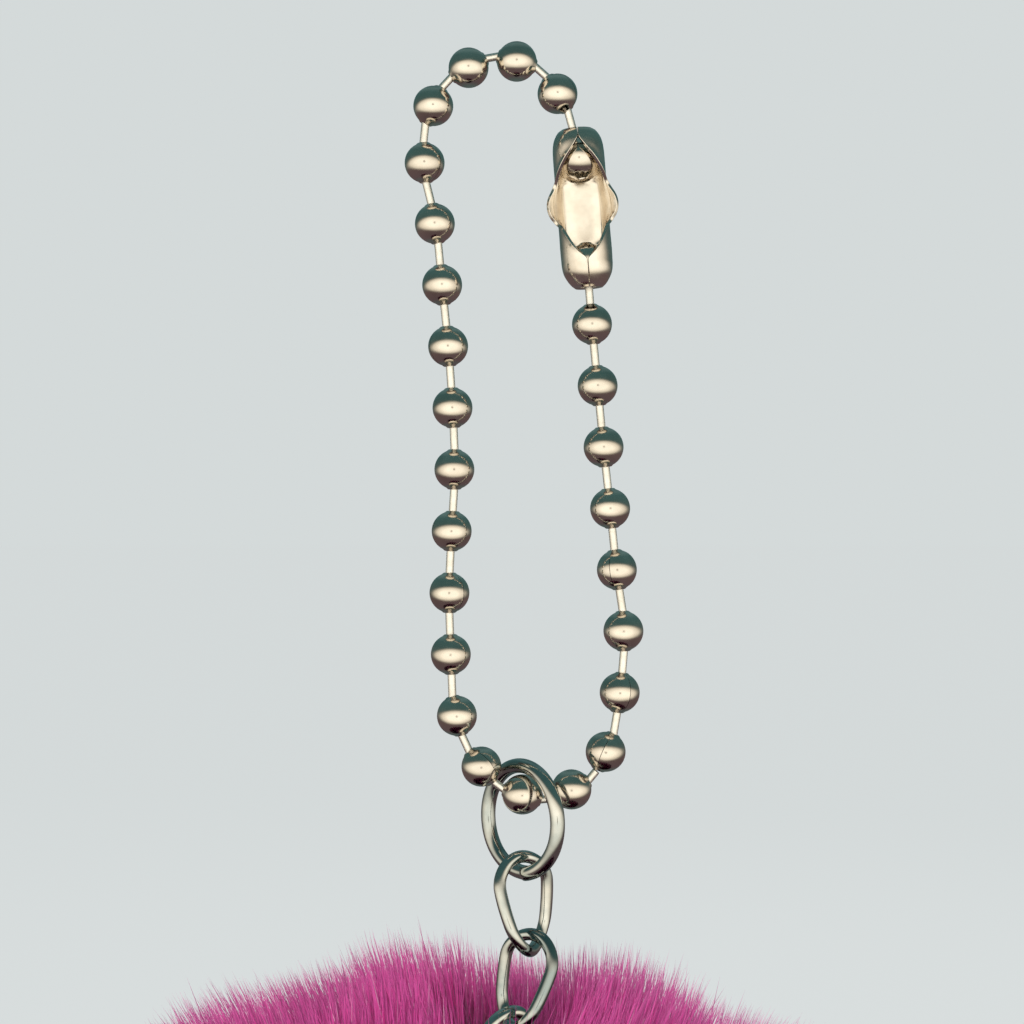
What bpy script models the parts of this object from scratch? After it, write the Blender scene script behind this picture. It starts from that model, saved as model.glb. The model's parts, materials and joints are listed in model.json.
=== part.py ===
"""Plush keychain: a fluffy ball hung by three links and a jump ring on a loop of ball chain.

Run with: blender --background --python part.py

Units are metres, +Z is up and the whole object hangs. The chain loop lies in the XZ plane and is seen
from -Y. The origin is the hang point: the underside of the pin at the top of the loop.

Every bead is a hollow shell with a hole at each pole. A pin is a short rod with a head on each end, and
each head sits inside a bead. A moving piece has its origin on the axis of the joint that carries it.
"""

from math import asin, atan2, cos, pi, radians, sin, tan

import bmesh
import bpy
import numpy as np
from mathutils import Matrix, Vector

MM = 0.001

# Ball chain
BEAD_D = 2.40 * MM
PIN_SHOWING = 1.30 * MM  # of a pin between two beads where the chain runs straight
BEAD_WALL = 0.12 * MM
PIN_D = 0.48 * MM
PIN_LEAN = radians(28)  # how far a pin can lean in a bead's hole
HOLE_SLACK = 0.015 * MM
HEAD_LIP = 0.075 * MM  # how much a pin's head is wider than the hole, in radius
HEAD_GAP = 0.05 * MM  # between the two heads inside one bead
LEFT_BEADS = 15  # beads from the hang point down the left leg and round the bottom
RIGHT_BEADS = 12  # beads from the hang point down the right leg, the two in the connector included
CONNECTOR_AFTER = 3  # beads of the right leg down to the one in the connector's upper end
LOOP_GAP = 0.16 * MM  # how far the last pin stops short of the bead that closes the loop

# A pin slides into its beads where the chain turns, so the beads close up there.
TUCK_FROM = radians(18)
TUCK_FULL = radians(40)
TUCK_SHARE = 0.60

# The chain's centre line at rest: x and z in millimetres from about the top pin's middle, anticlockwise.
ROUTE_MM = (
    (0.0, 0.1), (-1.5, -0.2), (-3.5, -2.3), (-4.1, -5.7), (-3.5, -9.4), (-2.7, -16.7), (-2.3, -24.1),
    (-2.6, -31.7), (-2.2, -39.0), (-0.7, -42.3), (1.7, -44.0), (4.8, -43.7), (6.9, -41.3), (7.7, -37.7),
    (7.9, -34.1), (7.5, -30.4), (6.7, -23.0), (6.0, -15.6), (5.7, -11.8), (5.2, -5.6), (3.9, -1.7),
    (1.5, 0.2),
)  # fmt: skip

# Connector: a sprung sheet sleeve round the two end beads, open along its front
END_BEADS_APART = 3.86 * MM  # clear space between the two beads in the connector
UPPER_PIN_SHOWING = 1.70 * MM  # into the connector from above, where the pin is drawn right out of its bead
CONNECTOR_SHEET = 0.22 * MM
CONNECTOR_CLEARANCE = 0.13 * MM  # round a bead
CONNECTOR_LIP = 0.42 * MM  # past a seated bead, along the sleeve
CONNECTOR_NECK_R = 0.78 * MM  # clear radius at each end, smaller than a bead
EAR_HALF_WIDTH = 2.0 * MM
EAR_HALF_LENGTH = 1.15 * MM
SEAM_HALF_GAP = 0.08 * MM

# Jump ring and links
RING_D = 7.35 * MM  # outside
RING_WIRE = 0.88 * MM
RING_YAW = radians(-50)  # right side towards the viewer
RING_CUT = 0.12 * MM  # the gap between the ring's two ends
RING_CUT_AT = radians(-83)
RING_CLEARANCE = 0.10 * MM  # over the bead that it hangs on
LINK_LENGTH = 6.42 * MM  # outside
LINK_WIDTH = 4.30 * MM
LINK_WIRE = 0.76 * MM
LINK_CLEARANCE = 0.18 * MM  # between two links where one hangs on the other
LINK_POSE = ((radians(44), radians(-7)), (radians(-45), radians(15)), (radians(45), radians(25)))  # yaw, tilt
RING_BEAD = 13  # index, from 0, of the left-leg bead that the ring hangs on

# Plush ball
PLUSH_R = 40.0 * MM  # to the tips of the combed pile
PLUSH_DROP = 31.0 * MM  # ball's centre below the wire that carries it
STUFFING_R = 25.5 * MM
STUFFING_GAP = 0.5 * MM
WELL_FLOOR_R = 3.6 * MM  # the parting in the pile that the links go down into
WELL_RIM_R = 9.5 * MM
WELL_CLEARANCE = 2.2 * MM  # the parting's floor below the lowest link's wire
SEAM_HOLE_R = 2.0 * MM  # the gap in the backing that the ball is filled through
TAB_WIDTH = 1.40 * MM
TAB_THICKNESS = 0.45 * MM
TAB_CLEARANCE = 0.20 * MM

PITCH = BEAD_D + PIN_SHOWING  # bead centre to bead centre where the chain runs straight
UPPER_PIN_PITCH = BEAD_D + UPPER_PIN_SHOWING
CONNECTOR_SPAN = BEAD_D + END_BEADS_APART  # between the two end beads' centres
BEAD_R = BEAD_D / 2
PIN_R = PIN_D / 2
PIVOT_R = BEAD_R - BEAD_WALL / 2  # from a bead's centre to the middle of its hole
HOLE_R = PIN_R / cos(PIN_LEAN) + BEAD_WALL / 2 * tan(PIN_LEAN) + HOLE_SLACK
HEAD_R = HOLE_R + HEAD_LIP
HEAD_DEPTH = PIVOT_R - HEAD_R - HEAD_GAP / 2  # from the pivot in to the head's centre

TURNED_SIDES = 12
PIN_SIDES = 8
WIRE_BEVEL = 2
ROUTE_SAMPLES = 4400
AXIS_ROUNDS = 40


def metal(name: str, color: tuple, roughness: float) -> bpy.types.Material:
    """A Principled material with nothing but its reflections."""
    return surface(name, color, roughness, metallic=1.0)


def surface(name: str, color: tuple, roughness: float, metallic: float = 0.0) -> bpy.types.Material:
    """A plain Principled material."""
    material = bpy.data.materials.new(name)
    material.use_nodes = True
    shader = material.node_tree.nodes["Principled BSDF"]
    shader.inputs["Base Color"].default_value = (*color, 1.0)
    shader.inputs["Roughness"].default_value = roughness
    shader.inputs["Metallic"].default_value = metallic
    material.diffuse_color = (*color, 1.0)
    return material


class Route:
    """A closed smooth curve through ROUTE_MM, enlarged about the top pin, that beads are strung along."""

    def __init__(self, scale: float):
        knots = np.array(ROUTE_MM) * MM * scale
        each = ROUTE_SAMPLES // len(knots)
        t = np.linspace(0, 1, each, endpoint=False)[:, None]
        pieces = []
        for i in range(len(knots)):
            a, b, c, d = (knots[(i + k) % len(knots)] for k in (-1, 0, 1, 2))
            pieces.append(
                0.5 * (2 * b + (c - a) * t + (2 * a - 5 * b + 4 * c - d) * t**2 + (3 * b - a - 3 * c + d) * t**3)
            )
        self.points = np.concatenate(pieces)

    def at(self, u: float) -> np.ndarray:
        """The point u samples along, between two samples if need be."""
        low = int(np.floor(u))
        a, b = self.points[low % len(self.points)], self.points[(low + 1) % len(self.points)]
        return a + (b - a) * (u - low)

    def heading(self, u: float) -> float:
        ahead = self.at(u + 2) - self.at(u - 2)
        return atan2(ahead[1], ahead[0])

    def turn(self, u: float, v: float) -> float:
        """How far the curve turns between two places on it."""
        return abs((self.heading(v) - self.heading(u) + pi) % (2 * pi) - pi)

    def step(self, u: float, chord: float, way: int) -> float:
        """Where the point lies that is a straight distance chord from the point at u."""
        start, v = self.at(u), u
        while np.linalg.norm(self.at(v) - start) < chord:
            v += way
        near, far = v - way, v
        for _ in range(30):
            middle = (near + far) / 2
            if np.linalg.norm(self.at(middle) - start) < chord:
                near = middle
            else:
                far = middle
        return far

    def next_bead(self, u: float, way: int) -> float:
        """The next bead's place, closed up where the curve turns."""
        v = self.step(u, PITCH, way)
        for _ in range(6):
            v = self.step(u, bead_spacing(self.turn(u, v)), way)
        return v


def bead_spacing(turn: float) -> float:
    """Bead to bead distance where the chain turns by this much between them."""
    bent = min(max((turn - TUCK_FROM) / (TUCK_FULL - TUCK_FROM), 0.0), 1.0)
    return BEAD_D + PIN_SHOWING * (1 - TUCK_SHARE * bent)


def string_beads(route: Route) -> tuple[list, float]:
    """Bead centres in order round the loop from the hang point, and how much too far apart the ends are."""
    half = PITCH
    for _ in range(6):
        left, right = route.step(0, half / 2, 1), route.step(0, half / 2, -1)
        half = bead_spacing(route.turn(left, right))
    lefts, rights = [left], [right]
    while len(lefts) < LEFT_BEADS:
        lefts.append(route.next_bead(lefts[-1], 1))
    fixed = {CONNECTOR_AFTER - 1: UPPER_PIN_PITCH, CONNECTOR_AFTER: CONNECTOR_SPAN}
    while len(rights) < RIGHT_BEADS:
        chord = fixed.get(len(rights))
        rights.append(route.step(rights[-1], chord, -1) if chord else route.next_bead(rights[-1], -1))
    gap = np.linalg.norm(route.at(lefts[-1]) - route.at(rights[-1]))
    error = gap - bead_spacing(route.turn(lefts[-1], rights[-1]))
    overlap = lefts[-1] - (rights[-1] + len(route.points))
    if overlap > 0:
        error = -gap
    order = [route.at(u) for u in lefts + rights[::-1]]
    return [Vector((x, 0, z)) for x, z in order], error


def closed_loop() -> list:
    """Bead centres of the loop whose size is just right for the chain to close."""
    small, large = 0.5, 2.0
    for _ in range(40):
        scale = (small + large) / 2
        if string_beads(Route(scale))[1] > 0:
            large = scale
        else:
            small = scale
    return string_beads(Route(large))[0]


def bead_axes(centres: list) -> list:
    """Each bead's pole axis, settled so that the pins in its two holes lean by the same angle."""
    count = len(centres)
    axes = [(centres[(i + 1) % count] - centres[i - 1]).normalized() for i in range(count)]
    for _ in range(AXIS_ROUNDS):
        pins = []
        for i in range(count):
            after = (i + 1) % count
            start, end = centres[i] + axes[i] * PIVOT_R, centres[after] - axes[after] * PIVOT_R
            pins.append((end - start).normalized())
        axes = [(axes[i] + (pins[i - 1] + pins[i]).normalized()).normalized() for i in range(count)]
    return axes


def frame_at(place: Vector, along: Vector) -> Matrix:
    """Local +Z along a direction in the XZ plane, and local Y along world Y."""
    return Matrix.Translation(place) @ Matrix.Rotation(atan2(along.x, along.z), 4, "Y")


def turned(name: str, profile: list, sides: int, closed: bool) -> bpy.types.Mesh:
    """A mesh turned about Z from a profile of (radius, z). A closed profile makes a shell round the axis."""
    bm = bmesh.new()
    corners = [bm.verts.new((r, 0, z)) for r, z in profile]
    edges = [bm.edges.new(pair) for pair in zip(corners, corners[1:])]
    if closed:
        edges.append(bm.edges.new((corners[-1], corners[0])))
    bmesh.ops.spin(
        bm, geom=corners + edges, axis=(0, 0, 1), cent=(0, 0, 0), angle=2 * pi, steps=sides, use_merge=True
    )
    bmesh.ops.remove_doubles(bm, verts=bm.verts, dist=1e-7)
    bmesh.ops.recalc_face_normals(bm, faces=bm.faces)
    return finished_mesh(name, bm)


def finished_mesh(name: str, bm: bmesh.types.BMesh) -> bpy.types.Mesh:
    mesh = bpy.data.meshes.new(name)
    bm.to_mesh(mesh)
    bm.free()
    mesh.shade_smooth()
    mesh.set_sharp_from_angle(angle=radians(50))
    return mesh


def arc(radius: float, start: float, end: float, steps: int, middle: float = 0.0) -> list:
    """Profile points on a circle about (0, middle), with angles from the +Z pole."""
    angles = [start + (end - start) * i / steps for i in range(steps + 1)]
    return [(radius * sin(a), middle + radius * cos(a)) for a in angles]


def bead_mesh() -> bpy.types.Mesh:
    """A hollow ball with a hole at each pole. Its origin is in the hole that hangs on the pin above."""
    inner = BEAD_R - BEAD_WALL
    outside = arc(BEAD_R, asin(HOLE_R / BEAD_R), pi - asin(HOLE_R / BEAD_R), 5, PIVOT_R)
    inside = arc(inner, pi - asin(HOLE_R / inner), asin(HOLE_R / inner), 4, PIVOT_R)
    return turned("bead", outside + inside, TURNED_SIDES, True)


def pin_mesh(name: str, span: float, last_head: bool) -> bpy.types.Mesh:
    """A rod from pivot to pivot with a head past each. Without a last head the rod is cut off at span."""
    neck = asin(PIN_R / HEAD_R)
    low = [(r, -HEAD_DEPTH - z) for r, z in arc(HEAD_R, 0, pi - neck, 3)]
    if last_head:
        high = arc(HEAD_R, pi - neck, 0, 3, span + HEAD_DEPTH)
    else:
        high = [(PIN_R, span), (0, span)]
    return turned(name, low + high, PIN_SIDES, False)


def tube(name: str, points: list, wire: float, cyclic: bool) -> bpy.types.Object:
    """A round wire along points, as a curve with filled ends."""
    curve = bpy.data.curves.new(name, "CURVE")
    curve.dimensions = "3D"
    curve.bevel_depth = wire / 2
    curve.bevel_resolution = WIRE_BEVEL
    curve.use_fill_caps = not cyclic
    spline = curve.splines.new("POLY")
    spline.points.add(len(points) - 1)
    for slot, point in zip(spline.points, points):
        slot.co = (*point, 1)
    spline.use_cyclic_u = cyclic
    return bpy.data.objects.new(name, curve)


def ring_points(drop: float) -> list:
    """The cut ring's centre line in the local XZ plane, its centre drop below the origin."""
    radius = (RING_D - RING_WIRE) / 2
    open_angle = (RING_CUT / 2) / radius
    first, last = RING_CUT_AT + open_angle, RING_CUT_AT + 2 * pi - open_angle
    angles = np.linspace(first, last, 29)
    return [Vector((radius * cos(a), 0, radius * sin(a) - drop)) for a in angles]


def link_points(drop: float) -> list:
    """An oval link's centre line in the local XZ plane, its top end drop below the origin."""
    radius = (LINK_WIDTH - LINK_WIRE) / 2
    straight = LINK_LENGTH - LINK_WIRE - 2 * radius
    top = [Vector((radius * cos(a), 0, radius * sin(a))) for a in np.linspace(0, pi, 9)]
    bottom = [Vector((radius * cos(a), 0, radius * sin(a) - straight)) for a in np.linspace(pi, 2 * pi, 9)]
    return [point - Vector((0, 0, radius + drop)) for point in top + bottom]


def connector_stations() -> list:
    """Sheet middle along the sleeve, from its top end down: place, half width, depth, half slot."""
    seat = CONNECTOR_SPAN / 2
    end = seat + BEAD_R + CONNECTOR_LIP
    sleeve = BEAD_R + CONNECTOR_CLEARANCE + CONNECTOR_SHEET / 2
    neck = CONNECTOR_NECK_R + CONNECTOR_SHEET / 2
    ear = EAR_HALF_WIDTH - CONNECTOR_SHEET / 2
    trough = 0.95 * sleeve
    seam = SEAM_HALF_GAP + CONNECTOR_SHEET / 2
    shoulder = seat + 0.62 * BEAD_R
    return [
        (end, neck, neck, seam),
        (shoulder, 0.93 * sleeve, 0.93 * sleeve, 0.18 * sleeve),
        (seat, sleeve, sleeve, 0.42 * sleeve),
        ((seat + EAR_HALF_LENGTH) / 2, sleeve, sleeve, 0.70 * sleeve),
        (EAR_HALF_LENGTH, 1.08 * sleeve, trough, 0.97 * sleeve),
        (EAR_HALF_LENGTH / 2, ear, trough, 0.99 * ear),
        (-EAR_HALF_LENGTH / 2, ear, trough, 0.99 * ear),
        (-EAR_HALF_LENGTH, 1.16 * sleeve, trough, 1.08 * sleeve),
        (-(seat + EAR_HALF_LENGTH) / 2, sleeve, sleeve, 0.52 * sleeve),
        (-seat, sleeve, sleeve, seam),
        (-shoulder, 0.93 * sleeve, 0.93 * sleeve, seam),
        (-end, neck, neck, seam),
    ]


def connector_object() -> bpy.types.Object:
    """The sleeve as a bent sheet with its slot towards -Y, local +Z towards its lower end, centred."""
    across = 11
    bm = bmesh.new()
    rows = []
    for place, width, depth, slot in connector_stations():
        opening = asin(min(slot / width, 1.0))
        angles = np.linspace(opening, 2 * pi - opening, across)
        rows.append([bm.verts.new((width * sin(a), -depth * cos(a), -place)) for a in angles])
    for upper, lower in zip(rows, rows[1:]):
        for i in range(across - 1):
            bm.faces.new((upper[i], upper[i + 1], lower[i + 1], lower[i]))
    bmesh.ops.recalc_face_normals(bm, faces=bm.faces)
    obj = bpy.data.objects.new("connector", finished_mesh("connector", bm))
    sheet = obj.modifiers.new("Sheet thickness", "SOLIDIFY")
    sheet.thickness = CONNECTOR_SHEET
    sheet.offset = 0
    return obj


def ball_cover_mesh() -> bpy.types.Mesh:
    """Backing and pile as one thick shell about the ball's centre, parted at the top, with a filling gap."""
    floor = PLUSH_DROP - LINK_WIRE / 2 - WELL_CLEARANCE
    cavity = STUFFING_R + STUFFING_GAP
    rim = asin(WELL_RIM_R / PLUSH_R)
    hole_out, hole_in = asin(SEAM_HOLE_R / PLUSH_R), asin(SEAM_HOLE_R / cavity)
    parting = [(0, floor), (WELL_FLOOR_R, floor)]
    outside = arc(PLUSH_R, rim, pi - hole_out, 12)
    inside = arc(cavity, pi - hole_in, 0, 9)
    return turned("plush_cover", parting + outside + inside, 28, False)


def tab_object(name: str) -> bpy.types.Object:
    """A strip folded over the wire at the origin, its legs running down local -Z, to be joined on."""
    inner = LINK_WIRE / 2 + TAB_CLEARANCE
    outer = inner + TAB_THICKNESS
    leg = WELL_CLEARANCE + LINK_WIRE + 1.5 * MM
    over = [(radius * cos(a), radius * sin(a)) for radius, a in ((outer, pi * i / 6) for i in range(7))]
    under = [(inner * cos(a), inner * sin(a)) for a in (pi - pi * i / 6 for i in range(7))]
    outline = [(outer, -leg), *over, (-outer, -leg), (-inner, -leg), *under, (inner, -leg)]
    bm = bmesh.new()
    face = bm.faces.new([bm.verts.new((-TAB_WIDTH / 2, y, z)) for y, z in outline])
    side = bmesh.ops.extrude_face_region(bm, geom=[face])
    moved = [item for item in side["geom"] if isinstance(item, bmesh.types.BMVert)]
    bmesh.ops.translate(bm, verts=moved, vec=(TAB_WIDTH, 0, 0))
    bmesh.ops.recalc_face_normals(bm, faces=bm.faces)
    return bpy.data.objects.new(name, finished_mesh(name, bm))


class Keychain:
    """Builds the pieces from the top pin down, each parented to the piece that carries it."""

    def __init__(self):
        self.chain_metal = metal("chain_nickel", (0.62, 0.58, 0.52), 0.32)
        self.ring_metal = metal("ring_nickel", (0.70, 0.69, 0.67), 0.20)
        self.fur = surface("pink_fur", (0.62, 0.11, 0.36), 0.9)
        self.fill = surface("white_stuffing", (0.85, 0.84, 0.80), 1.0)
        self.bead = bead_mesh()
        self.world = {}
        self.centres = closed_loop()
        self.axes = bead_axes(self.centres)
        top = (self.pole(-1, 1) + self.pole(0, -1)) / 2
        self.centres = [centre - top + Vector((0, 0, PIN_R)) for centre in self.centres]

    def add(self, obj: bpy.types.Object, material, world: Matrix, carrier) -> bpy.types.Object:
        """Links a piece into the scene at its place, as a child of the piece that it moves on."""
        obj.data.materials.clear()
        obj.data.materials.append(material)
        bpy.context.scene.collection.objects.link(obj)
        if carrier:
            obj.parent = carrier
            obj.matrix_parent_inverse = self.world[carrier.name].inverted()
        obj.matrix_basis = world
        self.world[obj.name] = world.copy()
        return obj

    def pole(self, i: int, way: int) -> Vector:
        """The middle of bead i's hole on the side of the next bead (way 1) or the one before (way -1)."""
        return self.centres[i] + self.axes[i] * (way * PIVOT_R)

    def add_bead(self, i: int, way: int, carrier) -> bpy.types.Object:
        """Bead i, hung at its hole on the side that it is reached from when going round by way."""
        obj = bpy.data.objects.new(f"bead_{i + 1:02d}", self.bead)
        return self.add(obj, self.chain_metal, frame_at(self.pole(i, -way), self.axes[i] * way), carrier)

    def add_pin(self, name: str, start: int, way: int, carrier, closes: bool = True) -> bpy.types.Object:
        """The pin that leaves bead start by way. One that doesn't close stops short of the next bead."""
        after = (start + way) % len(self.centres)
        first, last = self.pole(start, way), self.pole(after, -way)
        if not closes:
            last -= (last - first).normalized() * (LOOP_GAP + BEAD_WALL / 2)
        along = last - first
        obj = bpy.data.objects.new(name, pin_mesh(name, along.length, closes))
        return self.add(obj, self.chain_metal, frame_at(first, along), carrier)

    def build_left_leg(self, top_pin) -> None:
        """Down the left leg and round the bottom, to the pin that stops short of closing the loop."""
        carrier = top_pin
        for i in range(LEFT_BEADS):
            carrier = self.add_bead(i, 1, carrier)
            if i == RING_BEAD:
                self.build_pendant(carrier, i)
            carrier = self.add_pin(f"pin_{i + 1:02d}", i, 1, carrier, closes=i < LEFT_BEADS - 1)

    def build_right_leg(self, top_pin) -> None:
        """Down the right leg, through the connector that joins the chain's two end beads."""
        carrier = top_pin
        top_end = len(self.centres) - CONNECTOR_AFTER
        for i in range(len(self.centres) - 1, LEFT_BEADS - 1, -1):
            if i == top_end - 1:
                carrier = self.build_connector(carrier, self.centres[top_end], self.centres[i])
            carrier = self.add_bead(i, -1, carrier)
            if i not in (top_end, LEFT_BEADS):
                carrier = self.add_pin(f"pin_{i:02d}", i, -1, carrier)

    def build_connector(self, carrier, upper: Vector, lower: Vector) -> bpy.types.Object:
        place = frame_at((upper + lower) / 2, lower - upper)
        return self.add(connector_object(), self.chain_metal, place, carrier)

    def build_pendant(self, carrier, i: int) -> None:
        """The jump ring over bead i, the three links below it, and the plush ball on the last one."""
        over_bead = BEAD_R + RING_CLEARANCE + RING_WIRE / 2
        radius = (RING_D - RING_WIRE) / 2
        ring = tube("jump_ring", ring_points(radius - over_bead), RING_WIRE, False)
        place = Matrix.Translation(self.centres[i]) @ Matrix.Rotation(RING_YAW, 4, "Z")
        carrier = self.add(ring, self.ring_metal, place, carrier)
        wire = self.centres[i] + Vector((0, 0, over_bead - 2 * radius))
        drop, lean = (RING_WIRE + LINK_WIRE) / 2 + LINK_CLEARANCE, 0.0
        for number, (yaw, tilt) in enumerate(LINK_POSE, 2):
            # The link's origin is on the wire that it swings about, which is drop below its own top wire.
            link = tube(f"link_{number}", link_points(-drop), LINK_WIRE, True)
            place = Matrix.Translation(wire) @ Matrix.Rotation(tilt, 4, "Y") @ Matrix.Rotation(yaw, 4, "Z")
            carrier = self.add(link, self.ring_metal, place, carrier)
            wire = place @ Vector((0, 0, drop - (LINK_LENGTH - LINK_WIRE)))
            drop = LINK_WIRE + LINK_CLEARANCE
        self.build_plush(carrier, wire, place)

    def build_plush(self, carrier, wire: Vector, link_place: Matrix) -> None:
        """The cover with its sewn tab round the last link, and the stuffing inside it."""
        cover = bpy.data.objects.new("plush_cover", ball_cover_mesh())
        cover.data.transform(Matrix.Translation((0, 0, -PLUSH_DROP)))
        self.add(cover, self.fur, Matrix.Translation(wire), carrier)
        tab = tab_object("sewn_tab")
        turn = link_place.to_3x3().to_4x4()
        self.add(tab, self.fur, Matrix.Translation(wire) @ turn, cover)
        tab.hide_render = True
        tab.display_type = "WIRE"
        join = cover.modifiers.new("Sewn tab", "BOOLEAN")
        join.operation = "UNION"
        join.object = tab
        stuffing = turned("stuffing", arc(STUFFING_R, 0, pi, 10, -PLUSH_DROP), 20, False)
        obj = bpy.data.objects.new("stuffing", stuffing)
        self.add(obj, self.fill, Matrix.Translation(wire), cover)

    def build(self) -> None:
        first, last = self.pole(-1, 1), self.pole(0, -1)
        pin = bpy.data.objects.new("hanging_pin", pin_mesh("hanging_pin", (last - first).length, True))
        top_pin = self.add(pin, self.chain_metal, frame_at(first, last - first), None)
        self.build_left_leg(top_pin)
        self.build_right_leg(top_pin)


def main() -> None:
    for obj in list(bpy.data.objects):
        bpy.data.objects.remove(obj)
    Keychain().build()


main()
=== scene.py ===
"""Plush keychain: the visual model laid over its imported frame.

Units are metres and +Z is up. The chain loop hangs in the XZ plane and is seen from -Y. Every bead, pin,
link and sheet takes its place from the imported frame: a bead from the box of its node, a pin or a link from
the pivots that it turns on. The ball is a stitched skin with a combed pile round its stuffing.
"""

import json
import logging
import math
from dataclasses import dataclass, field
from enum import Enum

import bmesh
import bpy
import numpy as np
from mathutils import Matrix, Vector
from mathutils.kdtree import KDTree

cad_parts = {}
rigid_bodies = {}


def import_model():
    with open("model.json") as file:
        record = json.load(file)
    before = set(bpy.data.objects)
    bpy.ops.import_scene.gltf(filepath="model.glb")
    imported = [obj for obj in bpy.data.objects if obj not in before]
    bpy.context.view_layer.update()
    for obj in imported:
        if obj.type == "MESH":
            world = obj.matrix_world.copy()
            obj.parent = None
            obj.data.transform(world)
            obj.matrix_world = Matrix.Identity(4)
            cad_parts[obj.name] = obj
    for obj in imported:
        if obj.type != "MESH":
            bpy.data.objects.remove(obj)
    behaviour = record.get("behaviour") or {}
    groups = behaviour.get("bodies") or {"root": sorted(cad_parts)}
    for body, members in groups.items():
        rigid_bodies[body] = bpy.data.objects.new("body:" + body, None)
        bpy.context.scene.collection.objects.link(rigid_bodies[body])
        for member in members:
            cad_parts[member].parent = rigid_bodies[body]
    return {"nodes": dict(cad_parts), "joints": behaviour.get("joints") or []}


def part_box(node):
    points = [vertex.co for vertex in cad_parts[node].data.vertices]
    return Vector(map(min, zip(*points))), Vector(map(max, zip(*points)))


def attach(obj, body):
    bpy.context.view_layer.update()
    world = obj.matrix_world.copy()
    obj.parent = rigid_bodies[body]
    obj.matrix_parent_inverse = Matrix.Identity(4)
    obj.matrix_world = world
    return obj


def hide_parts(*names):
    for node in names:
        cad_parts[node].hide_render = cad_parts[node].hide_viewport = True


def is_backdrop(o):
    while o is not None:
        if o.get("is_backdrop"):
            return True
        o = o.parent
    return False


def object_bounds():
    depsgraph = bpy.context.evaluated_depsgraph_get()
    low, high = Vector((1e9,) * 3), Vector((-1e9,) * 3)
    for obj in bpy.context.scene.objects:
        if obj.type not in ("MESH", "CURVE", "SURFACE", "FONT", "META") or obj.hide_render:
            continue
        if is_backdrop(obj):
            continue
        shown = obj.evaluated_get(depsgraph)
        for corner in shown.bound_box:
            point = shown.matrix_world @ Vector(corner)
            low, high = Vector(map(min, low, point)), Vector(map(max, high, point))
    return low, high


LOG = logging.getLogger("plush_keychain")
MM = 0.001
UP = Vector((0.0, 0.0, 1.0))
Socket = bpy.types.NodeSocket
BMesh, BMFace, BMVert = bmesh.types.BMesh, bmesh.types.BMFace, bmesh.types.BMVert
Colour = tuple[float, float, float]
Profile = list[tuple[float, float]]  # points of radius and height
WAVE_PITCH = 0.314  # how far apart a wave texture's bands are at a scale of 1


class Slot(Enum):
    """The record's material slots."""

    CHAIN = "chain_nickel"
    RING = "ring_nickel"
    FUR = "pink_fur"
    STUFFING = "white_stuffing"


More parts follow.
